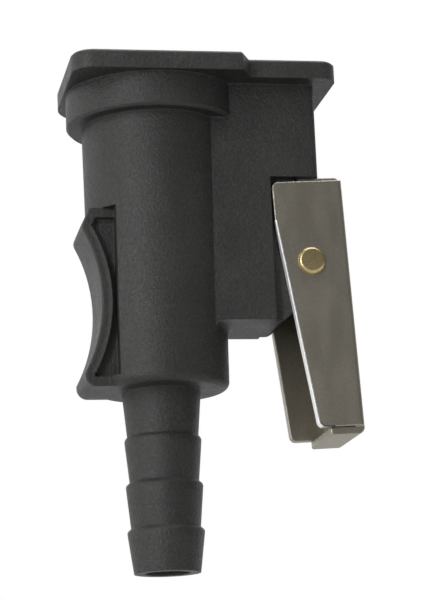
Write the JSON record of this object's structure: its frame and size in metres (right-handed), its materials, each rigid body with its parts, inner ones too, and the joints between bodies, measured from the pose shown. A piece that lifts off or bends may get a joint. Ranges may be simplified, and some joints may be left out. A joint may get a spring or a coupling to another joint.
{
  "type": "quick disconnect hose coupling",
  "caption": "Moulded female quick disconnect coupling with a barbed hose tail, a sprung check valve behind the port seal, a guide socket and a sprung metal latch lever.",
  "frame": {"origin": "centre of the fuel port in the mating face of the flange", "axes": "+Z leaves the port towards the plug, +X points from the port to the guide socket and the latch"},
  "size_m": [0.039, 0.0254, 0.0693],
  "materials": {
    "moulded_plastic": "black moulded plastic, satin, fine grain",
    "bush_plastic": "black turned plastic",
    "seal_rubber": "black nitrile",
    "valve_plastic": "natural acetal",
    "spring_steel": "drawn stainless wire",
    "nickel_plate": "satin nickel plate on folded sheet",
    "rivet_brass": "set brass"
  },
  "bodies": {
    "housing": {"body": "moulded_plastic", "port_bush": "bush_plastic", "port_seal": "seal_rubber", "valve_spring": "spring_steel", "latch_spring": "spring_steel"},
    "valve": {"check_valve": "valve_plastic"},
    "latch": {"latch_lever": "nickel_plate", "pivot_rivet": "rivet_brass"}
  },
  "joints": [
    {"name": "latch_squeeze", "type": "hinge", "parent": "housing", "child": "latch", "pos_m": [0.0204, 0, -0.02785], "axis": [0, 1, 0], "range_deg": [0, 10], "stiffness_Nm_per_rad": 0.08, "springref_deg": -34.38, "deforming": ["latch_spring"]},
    {"name": "valve_travel", "type": "slide", "parent": "housing", "child": "valve", "axis": [0, 0, -1], "range_m": [0, 0.005], "stiffness_N_per_m": 300, "springref_m": -0.003, "deforming": ["valve_spring"]}
  ]
}
